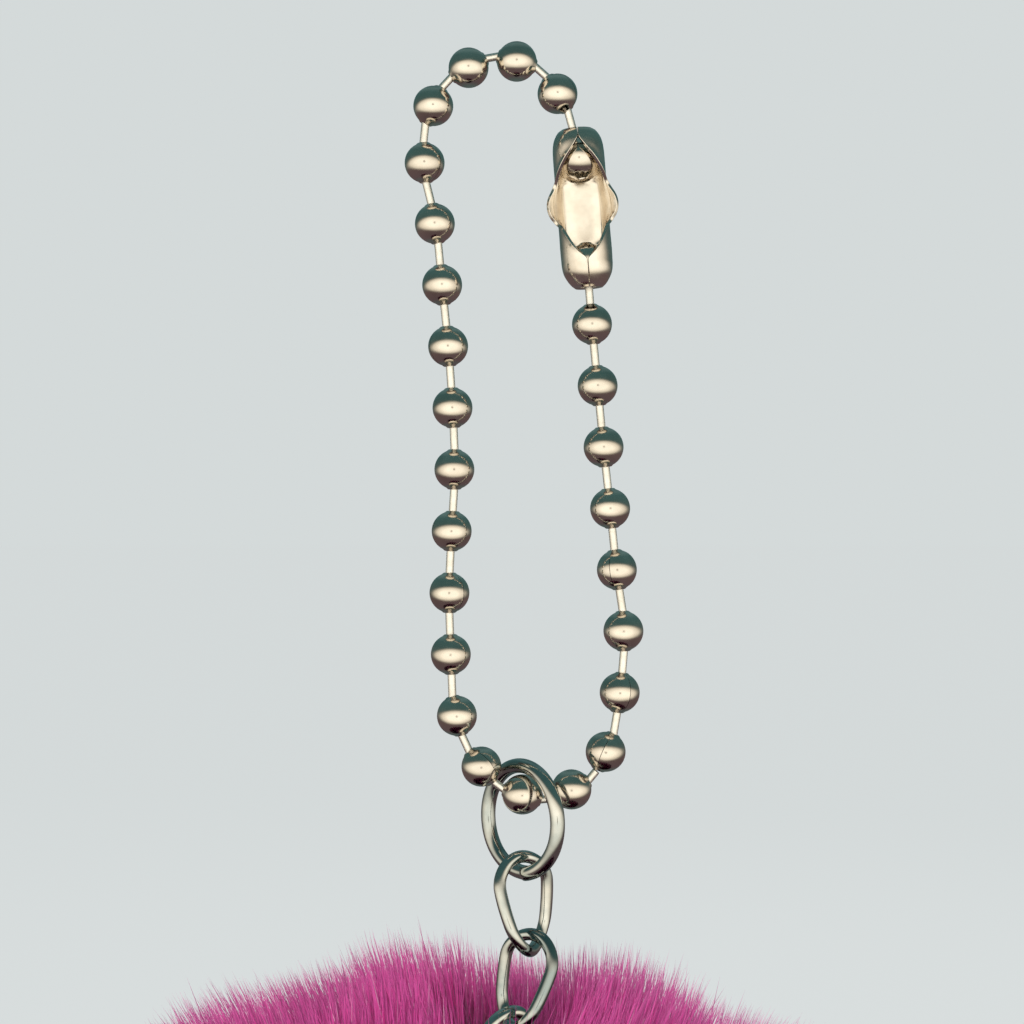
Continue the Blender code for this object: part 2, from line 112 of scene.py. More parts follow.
class NodeTree:
    """A thin helper that adds shader nodes and wires them."""

    def __init__(self, owner: bpy.types.Material | bpy.types.World) -> None:
        """Takes up the nodes that the owner starts with.

        Args:
            owner: the material or world whose nodes are made.
        """
        owner.use_nodes = True
        self.tree = owner.node_tree
        shaders = ("BSDF_PRINCIPLED", "BACKGROUND")
        self.shader = next(node for node in self.tree.nodes if node.type in shaders)

    def add(self, kind: str, inputs: dict | None = None, **settings: object) -> bpy.types.Node:
        """Adds a node.

        Args:
            kind: the node's type name.
            inputs: values for its sockets, by name or number.
            **settings: the node's own properties.

        Returns:
            The new node.
        """
        node = self.tree.nodes.new(kind)
        for name, value in settings.items():
            setattr(node, name, value)
        for name, value in (inputs or {}).items():
            node.inputs[name].default_value = value
        return node

    def wire(self, out: Socket, into: Socket) -> None:
        """Links two sockets."""
        self.tree.links.new(out, into)

    def sum(self, operation: str, *terms: Socket | float) -> Socket:
        """One step of arithmetic.

        Args:
            operation: the maths node's operation.
            *terms: its operands, sockets or numbers.

        Returns:
            The result's socket.
        """
        node = self.add("ShaderNodeMath", operation=operation)
        for socket, term in zip(node.inputs, terms):
            if isinstance(term, Socket):
                self.wire(term, socket)
            else:
                socket.default_value = term
        return node.outputs["Value"]

    def blend(self, share: Socket, first: Socket | tuple, second: Socket | tuple) -> Socket:
        """Mixes two colours.

        Args:
            share: how much of the second shows.
            first: a colour or its socket.
            second: a colour or its socket.

        Returns:
            The mixed colour's socket.
        """
        node = self.add("ShaderNodeMix", data_type="RGBA")
        self.wire(share, node.inputs["Factor"])
        for socket, colour in ((node.inputs["A"], first), (node.inputs["B"], second)):
            if isinstance(colour, Socket):
                self.wire(colour, socket)
            else:
                socket.default_value = (*colour, 1.0)
        return node.outputs["Result"]

    def ramp(self, source: Socket, stops: tuple) -> Socket:
        """A colour ramp on a value.

        Args:
            source: the value's socket.
            stops: pairs of position and linear colour.

        Returns:
            The ramp's colour socket.
        """
        node = self.add("ShaderNodeValToRGB")
        elements = node.color_ramp.elements
        while len(elements) < len(stops):
            elements.new(0.5)
        for element, (place, colour) in zip(elements, stops):
            element.position = place
            element.color = (*colour, 1.0)
        self.wire(source, node.inputs["Fac"])
        return node.outputs["Color"]

    def noise(self, size: float, detail: float = 3.0, stretch: Vector | None = None) -> Socket:
        """Noise on Object coordinates.

        Args:
            size: the size of its blotches in metres.
            detail: how many finer layers it has.
            stretch: how much finer it is along each axis.

        Returns:
            The noise's value socket.
        """
        place = self.add("ShaderNodeTexCoord")
        mapping = self.add("ShaderNodeMapping")
        mapping.inputs["Scale"].default_value = stretch or Vector((1.0, 1.0, 1.0))
        noise = self.add("ShaderNodeTexNoise", {"Scale": 1.0 / size, "Detail": detail})
        self.wire(place.outputs["Object"], mapping.inputs["Vector"])
        self.wire(mapping.outputs["Vector"], noise.inputs["Vector"])
        return noise.outputs["Fac"]

    def span(self, source: Socket, low: float, high: float) -> Socket:
        """Stretches the middle of a noise to run between two values.

        Args:
            source: a value about 0.3 to 0.7.
            low: what the low end becomes.
            high: what the high end becomes.

        Returns:
            The new value's socket.
        """
        ends = {"From Min": 0.3, "From Max": 0.7, "To Min": low, "To Max": high}
        node = self.add("ShaderNodeMapRange", ends)
        self.wire(source, node.inputs["Value"])
        return node.outputs["Result"]

    def bump(self, source: Socket, height: float, strength: float) -> None:
        """Drives the shader's normal from a height.

        Args:
            source: the height's socket.
            height: metres for a full step of the height.
            strength: how much of the bump shows.
        """
        node = self.add("ShaderNodeBump", {"Distance": height, "Strength": strength})
        self.wire(source, node.inputs["Height"])
        self.wire(node.outputs["Normal"], self.shader.inputs["Normal"])


@dataclass(frozen=True)
class NickelPlate:
    """Plated steel: a bright skin with smudges, faint haze and fine rubbing marks; on the wire the dull
    patches are dark teal painted reflections.
    """

    name: str
    bright: Colour
    dull_and_reflected: Colour
    roughness: tuple[float, float]
    smudge: float = 1.1 * MM
    grain: float = 0.05 * MM
    grain_height: float = 0.003 * MM

    def build(self) -> bpy.types.Material:
        """Makes the material.

        Returns:
            The plated metal.
        """
        material = bpy.data.materials.new(self.name)
        nodes = NodeTree(material)
        nodes.shader.inputs["Metallic"].default_value = 1.0
        # the noise lays the dull colour in patches: haze on beads, pins and sheet, painted reflection on the
        # wire
        haze_and_reflection = nodes.noise(self.smudge, 4.0)
        stops = ((0.36, self.bright), (0.70, self.dull_and_reflected))
        nodes.wire(nodes.ramp(haze_and_reflection, stops), nodes.shader.inputs["Base Color"])
        rub = nodes.noise(self.smudge * 0.45, 5.0, Vector((1.0, 1.0, 2.4)))
        nodes.wire(nodes.span(rub, *self.roughness), nodes.shader.inputs["Roughness"])
        nodes.bump(nodes.noise(self.grain, 2.0), self.grain_height, 0.25)
        return material


@dataclass(frozen=True)
class DyedPile:
    """Dyed acrylic pile: deep at the roots, hot pink towards the tips, each strand its own tint, darkened
    round the parting as painted shade.
    """

    name: str = "Dyed pink pile"
    root: Colour = (0.290, 0.015, 0.140)
    low: Colour = (0.400, 0.026, 0.192)
    high: Colour = (0.620, 0.048, 0.290)
    tip: Colour = (0.770, 0.130, 0.440)
    pale: Colour = (0.860, 0.520, 0.690)
    attribute: str = "strand"

    def build(self) -> bpy.types.Material:
        """Makes the material. The strand attribute holds place along the strand, a tint darkened round the
        parting as painted shade, and paleness.

        Returns:
            The pile's material.
        """
        material = bpy.data.materials.new(self.name)
        nodes = NodeTree(material)
        read = nodes.add("ShaderNodeAttribute", attribute_name=self.attribute)
        split = nodes.add("ShaderNodeSeparateColor")
        nodes.wire(read.outputs["Color"], split.inputs["Color"])
        along = nodes.ramp(
            split.outputs["Red"], ((0.0, self.root), (0.42, self.low), (0.80, self.high), (1.0, self.tip))
        )
        # painted shade: the green channel's low end darkens the strands round the parting to a muted purple
        deep = nodes.ramp(split.outputs["Green"], ((0.0, (0.42, 0.36, 0.44)), (1.0, (1.18, 1.1, 1.12))))
        toned = nodes.add("ShaderNodeMix", {"Factor": 1.0}, data_type="RGBA", blend_type="MULTIPLY")
        nodes.wire(along, toned.inputs["A"])
        nodes.wire(deep, toned.inputs["B"])
        mixed = nodes.blend(split.outputs["Blue"], toned.outputs["Result"], self.pale)
        nodes.wire(mixed, nodes.shader.inputs["Base Color"])
        patch = nodes.noise(6.0 * MM, 2.0)
        nodes.wire(nodes.span(patch, 0.42, 0.58), nodes.shader.inputs["Roughness"])
        nodes.shader.inputs["Sheen Weight"].default_value = 0.25
        nodes.shader.inputs["Sheen Roughness"].default_value = 0.4
        nodes.shader.inputs["Sheen Tint"].default_value = (1.0, 0.62, 0.84, 1.0)
        return material


@dataclass(frozen=True)
class Cloth:
    """Plain woven or felted cloth, for the backing, the ribbon, the thread and the filling."""

    name: str
    light: Colour
    dark: Colour
    thread: float
    relief: float
    sheen: float = 0.2

    def build(self) -> bpy.types.Material:
        """Makes the material.

        Returns:
            The cloth.
        """
        material = bpy.data.materials.new(self.name)
        nodes = NodeTree(material)
        place = nodes.add("ShaderNodeTexCoord")
        weave = []
        for axis in ("X", "Z"):
            pattern = {"Scale": WAVE_PITCH / self.thread, "Distortion": 0.6, "Detail": 1.0}
            wave = nodes.add("ShaderNodeTexWave", pattern)
            wave.bands_direction = axis
            nodes.wire(place.outputs["Object"], wave.inputs["Vector"])
            weave.append(wave.outputs["Fac"])
        fuzz = nodes.noise(self.thread * 6.0, 4.0)
        height = nodes.sum("ADD", nodes.sum("MULTIPLY", *weave), fuzz)
        colour = nodes.ramp(fuzz, ((0.3, self.dark), (0.72, self.light)))
        nodes.wire(colour, nodes.shader.inputs["Base Color"])
        nodes.wire(nodes.span(fuzz, 0.75, 0.95), nodes.shader.inputs["Roughness"])
        nodes.bump(height, self.relief, 0.7)
        nodes.shader.inputs["Sheen Weight"].default_value = self.sheen
        return material


class Finishes:
    """Every finish of the keychain, made once."""

    def __init__(self) -> None:
        """Builds the materials."""
        self.bead = NickelPlate(
            "Satin nickel beads", (0.78, 0.72, 0.63), (0.66, 0.60, 0.52), (0.09, 0.18)
        ).build()
        self.pin = NickelPlate(
            "Bright pin steel", (0.97, 0.94, 0.88), (0.88, 0.84, 0.76), (0.36, 0.50)
        ).build()
        self.sheet = NickelPlate(
            "Pressed nickel sheet", (0.84, 0.78, 0.69), (0.70, 0.63, 0.54), (0.12, 0.22)
        ).build()
        # painted reflection: the wire's dull colour is a dark teal that stands for reflected surroundings,
        # laid in large patches
        self.wire = NickelPlate(
            "Bright nickel wire with painted reflections", (0.70, 0.69, 0.64), (0.30, 0.35, 0.35), (0.05, 0.13), 2.4 * MM
        ).build()
        self.pile = DyedPile().build()
        # painted shade: the backing is real cloth, its colour darkened so the gaps between strands read as
        # deep shadow
        self.backing_with_painted_shade = Cloth(
            "Pink knitted backing", (0.34, 0.020, 0.165), (0.17, 0.009, 0.085), 0.35 * MM, 0.06 * MM
        ).build()
        self.ribbon = Cloth(
            "Pink ribbon", (0.62, 0.10, 0.33), (0.40, 0.045, 0.21), 0.16 * MM, 0.03 * MM
        ).build()
        self.thread = Cloth(
            "Sewing thread", (0.66, 0.12, 0.36), (0.45, 0.06, 0.24), 0.06 * MM, 0.01 * MM
        ).build()
        self.filling = Cloth(
            "White fibre filling", (0.86, 0.85, 0.82), (0.70, 0.69, 0.66), 1.2 * MM, 0.5 * MM
        ).build()



class Frame:
    """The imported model, and the places and directions that the pieces take from it."""

    def __init__(self) -> None:
        """Loads the frame and keeps the size that it had."""
        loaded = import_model()
        self.nodes: dict[str, bpy.types.Object] = loaded["nodes"]
        self.joints: list[dict] = loaded["joints"]
        self.cad_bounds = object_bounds()

    def middle(self, node: str) -> Vector:
        """The middle of a node's box."""
        low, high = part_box(node)
        return (low + high) / 2

    def joint(self, name: str) -> dict:
        """The joint of this name."""
        return next(joint for joint in self.joints if joint["name"] == name)

    def pivot(self, name: str) -> Vector:
        """Where a hinge turns."""
        return Vector(self.joint(name)["pos_m"])

    def axis(self, name: str) -> Vector:
        """The direction that a hinge turns about."""
        return Vector(self.joint(name)["axis"])

    def pivots(self, body: str) -> list[Vector]:
        """The hinges that a body is part of, the one that carries it first.

        Args:
            body: the body's name.

        Returns:
            The places of its hinges.
        """
        own = [j for j in self.joints if j["type"] == "hinge" and j["child"] == body]
        carried = [j for j in self.joints if j["type"] == "hinge" and j["parent"] == body]
        return [Vector(joint["pos_m"]) for joint in own + carried]

    def names(self, start: str) -> list[str]:
        """The nodes whose names start this way, in order."""
        return sorted(name for name in self.nodes if name.startswith(start))


def linked(name: str, data: bpy.types.ID) -> bpy.types.Object:
    """Puts an object in the scene.

    Args:
        name: the object's name.
        data: what it shows.

    Returns:
        The object, at the origin.
    """
    obj = bpy.data.objects.new(name, data)
    bpy.context.scene.collection.objects.link(obj)
    return obj


class Workshop:
    """Turns a finished bmesh into a piece that rides on its body."""

    def __init__(self) -> None:
        """Starts with nothing made."""
        self.made: list[bpy.types.Object] = []

    def settle(self, piece: bpy.types.Object, material: bpy.types.Material, slot: Slot, body: str) -> None:
        """Dresses a piece and hands it to its body.

        Args:
            piece: the piece, with its place in its mesh.
            material: its finish.
            slot: the record's slot for that finish; not used.
            body: the body that it moves with.
        """
        piece.data.materials.append(material)
        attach(piece, body)
        self.made.append(piece)
        LOG.info("%s rides on %s", piece.name, body)

    def piece(self, name: str, bm: BMesh, place: Matrix, sharp: float = 40.0) -> bpy.types.Object:
        """Makes an object at the origin from a bmesh built about its own origin.

        Args:
            name: the piece's name.
            bm: its shape, which is freed.
            place: where the shape goes.
            sharp: the angle in degrees past which an edge stays crisp.

        Returns:
            The object.
        """
        bmesh.ops.transform(bm, matrix=place, verts=bm.verts)
        bmesh.ops.recalc_face_normals(bm, faces=bm.faces)
        mesh = bpy.data.meshes.new(name)
        bm.to_mesh(mesh)
        bm.free()
        mesh.shade_smooth()
        mesh.set_sharp_from_angle(angle=math.radians(sharp))
        return linked(name, mesh)

    def soften(self, piece: bpy.types.Object, width: float, segments: int, angle: float) -> None:
        """Rounds a piece's crisp edges.

        Args:
            piece: the piece.
            width: how wide the rounding is.
            segments: how many steps it has.
            angle: the angle in degrees past which an edge is rounded.
        """
        rounding = piece.modifiers.new("Rounded edges", "BEVEL")
        rounding.width, rounding.segments = width, segments
        rounding.limit_method, rounding.angle_limit = "ANGLE", math.radians(angle)


def aligned(place: Vector, z: Vector, x: Vector | None = None) -> Matrix:
    """A placing matrix.

    Args:
        place: where the origin goes.
        z: where local +Z points.
        x: about where local +X points.

    Returns:
        The matrix.
    """
    z = z.normalized()
    x = x if x is not None else (Vector((0.0, 1.0, 0.0)).cross(z))
    y = z.cross(x).normalized()
    x = y.cross(z).normalized()
    return Matrix.Translation(place) @ Matrix((x, y, z)).transposed().to_4x4()


def profile_face(bm: BMesh, profile: Profile) -> BMFace:
    """A face in the XZ plane from points of radius and height.

    Args:
        bm: where it is made.
        profile: the outline's points, in order.

    Returns:
        The face.
    """
    return bm.faces.new([bm.verts.new((r, 0.0, z)) for r, z in profile])


def sweep(bm: BMesh, geometry: list, about: Vector, centre: Vector, angle: float, steps: int) -> list:
    """Spins geometry on, leaving what it swept behind it.

    Args:
        bm: where it is made.
        geometry: the faces, edges and vertices to spin.
        about: the axis.
        centre: a point on the axis.
        angle: how far to turn.
        steps: how many steps to take.

    Returns:
        The geometry at the far end.
    """
    result = bmesh.ops.spin(bm, geom=geometry, axis=about, cent=centre, angle=angle, steps=steps)
    return result["geom_last"]


def arc(radius: float, start: float, end: float, steps: int, middle: float = 0.0) -> Profile:
    """Points on a circle, by their angle from +Z.

    Args:
        radius: the circle's radius.
        start: the first angle.
        end: the last angle.
        steps: how many steps between them.
        middle: the height of the circle's centre.

    Returns:
        Points of radius and height.
    """
    angles = [start + (end - start) * i / steps for i in range(steps + 1)]
    return [(radius * math.sin(a), middle + radius * math.cos(a)) for a in angles]


@dataclass
class BallChain:
    """Rolled hollow beads on short headed pins."""

    frame: Frame
    shop: Workshop
    finishes: Finishes
    bead_d: float = 2.40 * MM
    wall: float = 0.11 * MM
    hole_d: float = 0.64 * MM
    collar: float = 0.045 * MM  # how far the hole's rolled edge stands out
    slit: float = 0.035 * MM
    pin_d: float = 0.48 * MM
    head_d: float = 0.74 * MM
    head_depth: float = 0.70 * MM
    closing_gap: float = 0.07 * MM
    sides: int = 44
    turns: np.random.Generator = field(default_factory=lambda: np.random.default_rng(11))

    def bead_profile(self) -> Profile:
        """The wall's section: a ball's skin whose edges roll out a little round each hole.

        Returns:
            The section's points, from the upper hole's lining round to the inside.
        """
        outer, inner = self.bead_d / 2, self.bead_d / 2 - self.wall
        hole = math.asin(self.hole_d / self.bead_d)
        shoulder = hole + 0.13
        top = math.cos(hole) * outer
        rim = [
            (self.hole_d / 2, top - self.wall),
            (self.hole_d / 2, top + self.collar * 0.4),
            (self.hole_d / 2 + self.collar * 0.5, top + self.collar),
            (self.hole_d / 2 + self.collar * 1.3, top + self.collar * 0.55),
        ]
        skin = arc(outer, shoulder, math.pi - shoulder, 20)
        mirrored = [(r, -z) for r, z in reversed(rim)]
        lining = arc(inner, math.pi - hole * 1.25, hole * 1.25, 12)
        return rim + skin + mirrored + lining

    def bead(self, name: str) -> None:
        """Makes one bead, its rolling seam turned its own way round.

        Args:
            name: the node that it stands for.
        """
        centre = self.frame.middle(name)
        reach = self.bead_d * 0.6
        holes = [p for p in self.frame.pivots(name) if (p - centre).length < reach]
        bm = bmesh.new()
        face = profile_face(bm, self.bead_profile())
        gap = self.slit / (self.bead_d / 2)
        sweep(bm, [face, *face.edges, *face.verts], UP, Vector(), 2 * math.pi - gap, self.sides)
        turn = Matrix.Rotation(self.turns.uniform(0, 2 * math.pi), 4, "Z")
        piece = self.shop.piece(f"{name}_shell", bm, aligned(centre, centre - holes[0]) @ turn)
        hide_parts(name)
        self.shop.settle(piece, self.finishes.bead, Slot.CHAIN, name)

    def pin(self, name: str) -> None:
        """Makes one pin between its two pivots. The one that closes the loop ends just clear of its bead.

        Args:
            name: the node that it stands for.
        """
        ends = self.frame.pivots(name)
        headed = len(ends) > 1
        if not headed:
            bead = self.frame.middle("bead_16")
            far = self.frame.pivot("bead_16_on_pin_16")
            hole = bead * 2 - far
            ends.append(hole - (hole - ends[0]).normalized() * (self.closing_gap + self.wall / 2))
        start, along = ends[0], ends[1] - ends[0]
        length, rod, head = along.length, self.pin_d / 2, self.head_d / 2
        neck = math.asin(rod / head)
        low = [(r, -self.head_depth - z) for r, z in arc(head, 0.0, math.pi - neck, 8)]
        high = arc(head, math.pi - neck, 0.0, 8, length + self.head_depth)
        if not headed:
            high = [(rod, length - 0.04 * MM), (rod - 0.04 * MM, length), (0.0, length)]
        bm = bmesh.new()
        corners = [bm.verts.new((r, 0.0, z)) for r, z in low + high]
        edges = [bm.edges.new(pair) for pair in zip(corners, corners[1:])]
        bmesh.ops.spin(
            bm, geom=corners + edges, axis=UP, cent=Vector(), angle=2 * math.pi, steps=20, use_merge=True
        )
        bmesh.ops.remove_doubles(bm, verts=bm.verts, dist=1e-7)
        piece = self.shop.piece(f"{name}_rod", bm, aligned(start, along))
        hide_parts(name)
        self.shop.settle(piece, self.finishes.pin, Slot.CHAIN, name)

    def build(self) -> None:
        """Makes every bead and pin."""
        for name in self.frame.names("bead_"):
            self.bead(name)
        for name in self.frame.names("pin_") + self.frame.names("hanging_pin"):
            self.pin(name)


@dataclass(frozen=True)
class Station:
    """The sleeve's section at one place along it."""

    place: float  # from the middle towards the upper end
    radius: float
    slot: float  # half the opening
    flare: float  # how far the ear stands out past the radius


@dataclass
class SnapConnector:
    """A sprung sheet sleeve over the chain's two end beads, open along its front, with an ear each side."""

    frame: Frame
    shop: Workshop
    finishes: Finishes
    sheet: float = 0.20 * MM
    rows: int = 92
    columns: int = 48
    lip: float = 0.10 * MM
    lip_share: float = 0.07
    ear_share: float = 0.20
    trough: float = 2.4  # how flat the back is pressed between the beads
    trough_reach: float = 2.1 * MM
    stations: tuple[Station, ...] = (
        Station(4.76 * MM, 0.76 * MM, 0.012 * MM, 0.0),
        Station(4.60 * MM, 1.00 * MM, 0.012 * MM, 0.0),
        Station(4.25 * MM, 1.21 * MM, 0.02 * MM, 0.0),
        Station(3.92 * MM, 1.30 * MM, 0.18 * MM, 0.0),
        Station(3.50 * MM, 1.34 * MM, 0.42 * MM, 0.0),
        Station(2.80 * MM, 1.35 * MM, 0.84 * MM, 0.0),
        Station(2.20 * MM, 1.35 * MM, 1.13 * MM, 0.0),
        Station(1.65 * MM, 1.35 * MM, 1.31 * MM, 0.02 * MM),
        Station(1.30 * MM, 1.34 * MM, 1.33 * MM, 0.20 * MM),
        Station(0.75 * MM, 1.34 * MM, 1.34 * MM, 0.52 * MM),
        Station(0.25 * MM, 1.34 * MM, 1.34 * MM, 0.60 * MM),
        Station(-0.25 * MM, 1.34 * MM, 1.34 * MM, 0.46 * MM),
        Station(-0.65 * MM, 1.34 * MM, 1.33 * MM, 0.13 * MM),
        Station(-0.93 * MM, 1.34 * MM, 1.20 * MM, 0.0),
        Station(-1.43 * MM, 1.34 * MM, 0.98 * MM, 0.0),
        Station(-2.08 * MM, 1.35 * MM, 0.68 * MM, 0.0),
        Station(-2.54 * MM, 1.35 * MM, 0.38 * MM, 0.0),
        Station(-2.98 * MM, 1.34 * MM, 0.04 * MM, 0.0),
        Station(-3.30 * MM, 1.33 * MM, 0.012 * MM, 0.0),
        Station(-3.70 * MM, 1.26 * MM, 0.012 * MM, 0.0),
        Station(-4.05 * MM, 1.09 * MM, 0.012 * MM, 0.0),
        Station(-4.32 * MM, 0.90 * MM, 0.012 * MM, 0.0),
        Station(-4.55 * MM, 0.66 * MM, 0.012 * MM, 0.0),
    )

    def section(self, place: float) -> tuple[float, float, float]:
        """Radius, half opening and flare at a place along the sleeve.

        Args:
            place: from the middle towards the upper end.

        Returns:
            The three sizes, eased between stations.
        """
        known = sorted(self.stations, key=lambda s: s.place)
        places = np.array([s.place for s in known])
        sizes = np.array([(s.radius, s.slot, s.flare) for s in known])
        i = int(np.clip(np.searchsorted(places, place) - 1, 0, len(known) - 2))
        t = float(np.clip((place - places[i]) / (places[i + 1] - places[i]), 0.0, 1.0))
        before, after = sizes[max(i - 1, 0)], sizes[min(i + 2, len(known) - 1)]
        span = places[i + 1] - places[i]
        back = places[i] - places[max(i - 1, 0)] or span
        ahead = places[min(i + 2, len(known) - 1)] - places[i + 1] or span
        slope_in = (sizes[i + 1] - before) / (span + back)
        slope_out = (after - sizes[i]) / (span + ahead)
        h00, h10 = 2 * t**3 - 3 * t**2 + 1, t**3 - 2 * t**2 + t
        h01, h11 = -2 * t**3 + 3 * t**2, t**3 - t**2
        value = h00 * sizes[i] + h10 * span * slope_in + h01 * sizes[i + 1] + h11 * span * slope_out
        return float(value[0]), float(max(value[1], 0.008 * MM)), float(max(value[2], 0.0))

    def bend(self, u: float, place: float) -> Vector:
        """Where a point of the flat sheet goes when it is bent.

        Args:
            u: across the sheet, from 0 at its left edge to 1 at its right.
            place: from the middle towards the upper end.

        Returns:
            The point, with the slot towards -Y and +Z towards the upper end.
        """
        radius, slot, flare = self.section(place)
        opening = math.asin(min(slot / radius, 0.99))
        angle = opening + (2 * math.pi - 2 * opening) * u
        x, y = -radius * math.sin(angle), -radius * math.cos(angle)
        level = self.trough * max(0.0, 1.0 - (place / self.trough_reach) ** 8)
        if y > 0 and level > 0.01:
            y = radius * math.tanh(level * y / radius) / math.tanh(level) * (1.0 - 0.07 * min(1.0, level))
        edge = min(u, 1.0 - u)
        side = -1.0 if u < 0.5 else 1.0
        ear = max(0.0, 1.0 - edge / self.ear_share) ** 1.6
        roll = max(0.0, 1.0 - edge / self.lip_share) ** 2
        opened = min(1.0, max(0.0, (slot - 0.12 * MM) / (0.5 * MM)))
        out = self.lip * roll * opened
        x += side * flare * ear + out * math.sin(angle) * -1.0
        y += -out * math.cos(angle) - flare * 0.25 * ear
        return Vector((x, y, place))

    def build(self) -> None:
        """Bends the sheet, gives it its thickness and sets it over its two beads."""
        top, bottom = self.frame.middle("bead_25"), self.frame.middle("bead_24")
        bm = bmesh.new()
        bmesh.ops.create_grid(bm, x_segments=self.columns, y_segments=self.rows, size=0.5)
        for vert in bm.verts:
            share = vert.co.y * 2.0
            half = abs(self.stations[0 if share > 0 else -1].place)
            place = half * math.copysign(1.0 - (1.0 - abs(share)) ** 1.25, share)
            vert.co = self.bend(vert.co.x + 0.5, place)
        bmesh.ops.recalc_face_normals(bm, faces=bm.faces)
        bmesh.ops.solidify(bm, geom=bm.faces[:], thickness=self.sheet)
        place = aligned((top + bottom) / 2, top - bottom)
        piece = self.shop.piece("connector_sleeve", bm, place, 55.0)
        self.shop.soften(piece, 0.025 * MM, 2, 55.0)
        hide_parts("connector")
        self.shop.settle(piece, self.finishes.sheet, Slot.CHAIN, "connector")


@dataclass
class WireWork:
    """The cut jump ring and the three welded oval links below it."""

    frame: Frame
    shop: Workshop
    finishes: Finishes
    ring_wire: float = 0.88 * MM
    ring_cut: float = 0.12 * MM
    ring_cut_at: float = math.radians(-83)
    ring_spring: float = 0.20 * MM  # how far each cut end stands out of the ring's plane
    ring_spring_over: float = math.radians(34)
    link_wire: float = 0.76 * MM
    link_length: float = 6.42 * MM
    link_width: float = 4.30 * MM
    link_oval: float = 0.17  # how much narrower a link is at its ends than at its middle
    link_twists: tuple[float, ...] = (-25.0, 22.0, -10.0)  # how far each link's ends turn, in degrees
    around: int = 28

    def section(self, bm: BMesh, wire: float, at: Vector) -> list:
        """A filled wire section in the XY plane.

        Args:
            bm: where it is made.
            wire: the wire's diameter.
            at: the section's centre.

        Returns:
            The section's face, edges and vertices.
        """
        made = bmesh.ops.create_circle(bm, cap_ends=True, segments=self.around, radius=wire / 2)
        bmesh.ops.translate(bm, verts=made["verts"], vec=at)
        face = made["verts"][0].link_faces[0]
        return [face, *face.edges, *face.verts]

    def ring(self) -> None:
        """Makes the jump ring, its cut ends dressed with a small chamfer."""
        low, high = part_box("jump_ring")
        centre, radius = (low + high) / 2, ((high - low).z - self.ring_wire) / 2
        across = -self.frame.axis("link_2_swing")
        bm = bmesh.new()
        geometry = self.section(bm, self.ring_wire, Vector((radius, 0.0, 0.0)))
        half_gap = self.ring_cut / 2 / radius
        bmesh.ops.rotate(
            bm, verts=bm.verts, cent=Vector(), matrix=Matrix.Rotation(-self.ring_cut_at - half_gap, 3, "Y")
        )
        sweep(bm, geometry, Vector((0.0, -1.0, 0.0)), Vector(), 2 * math.pi - 2 * half_gap, 96)
        for vert in bm.verts:
            past = (math.atan2(vert.co.z, vert.co.x) - self.ring_cut_at) % (2 * math.pi)
            near = math.exp(-((past / self.ring_spring_over) ** 2))
            far = math.exp(-(((2 * math.pi - past) / self.ring_spring_over) ** 2))
            vert.co.y += self.ring_spring * (far - near)
        ends = [face for face in bm.faces if len(face.verts) > 4]
        rims = list({edge for face in ends for edge in face.edges})
        rounding = {"offset": 0.05 * MM, "segments": 2, "profile": 0.5, "material": -1}
        bmesh.ops.bevel(bm, geom=rims, affect="EDGES", **rounding)
        piece = self.shop.piece("jump_ring_wire", bm, aligned(centre, UP, across), 32.0)
        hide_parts("jump_ring")
        self.shop.settle(piece, self.finishes.wire, Slot.RING, "jump_ring")

    def link(self, name: str, top: str, bottom: str, twist: float) -> None:
        """Makes one oval link.

        Args:
            name: the node that it stands for.
            top: the joint that it swings on.
            bottom: the joint of what swings on it.
            twist: how far its ends are turned about its length.
        """
        low_wire = self.frame.pivot(bottom)
        rise = (self.frame.pivot(top) - low_wire).normalized()
        radius = (self.link_width - self.link_wire) / 2
        straight = self.link_length - self.link_wire - 2 * radius
        bm = bmesh.new()
        start = self.section(bm, self.link_wire, Vector((radius, 0.0, 0.0)))
        about, step = Vector((0.0, -1.0, 0.0)), Vector((0.0, 0.0, -straight))
        end = sweep(bm, start, about, Vector(), math.pi, 30)
        end = self.draw(bm, end, step)
        end = sweep(bm, end, about, step, math.pi, 30)
        self.draw(bm, end, -step)
        bmesh.ops.remove_doubles(bm, verts=bm.verts, dist=1e-6)
        inner = [face for face in bm.faces if len(face.verts) > 4]
        bmesh.ops.delete(bm, geom=inner, context="FACES_ONLY")
        for vert in bm.verts:
            share = (vert.co.z + straight / 2) / (self.link_length / 2)
            vert.co.x *= 1.0 - self.link_oval * share**2
            vert.co.xy = Matrix.Rotation(twist * share, 2) @ vert.co.xy
        centre = low_wire + rise * (radius + straight)
        piece = self.shop.piece(f"{name}_wire", bm, aligned(centre, rise, self.frame.axis(bottom)))
        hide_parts(name)
        self.shop.settle(piece, self.finishes.wire, Slot.RING, name)

    def draw(self, bm: BMesh, end: list, along: Vector, cuts: int = 6) -> list:
        """Draws a section out straight.

        Args:
            bm: where it is made.
            end: the section's geometry.
            along: how far it goes.
            cuts: how many lengths it is drawn in.

        Returns:
            The geometry at the far end.
        """
        for _ in range(cuts):
            faces = [g for g in end if isinstance(g, BMFace)]
            made = bmesh.ops.extrude_face_region(bm, geom=faces)
            bmesh.ops.delete(bm, geom=[f for f in faces if f.is_valid], context="FACES_ONLY")
            end = made["geom"]
            verts = [g for g in end if isinstance(g, BMVert)]
            bmesh.ops.translate(bm, verts=verts, vec=along / cuts)
        return end

    def build(self) -> None:
        """Makes the ring and the links, from the top down."""
        self.ring()
        names = ("link_2", "link_3", "link_4")
        swings = (*(f"{name}_swing" for name in names), "plush_swing")
        for name, top, bottom, twist in zip(names, swings, swings[1:], self.link_twists):
            self.link(name, top, bottom, math.radians(twist))


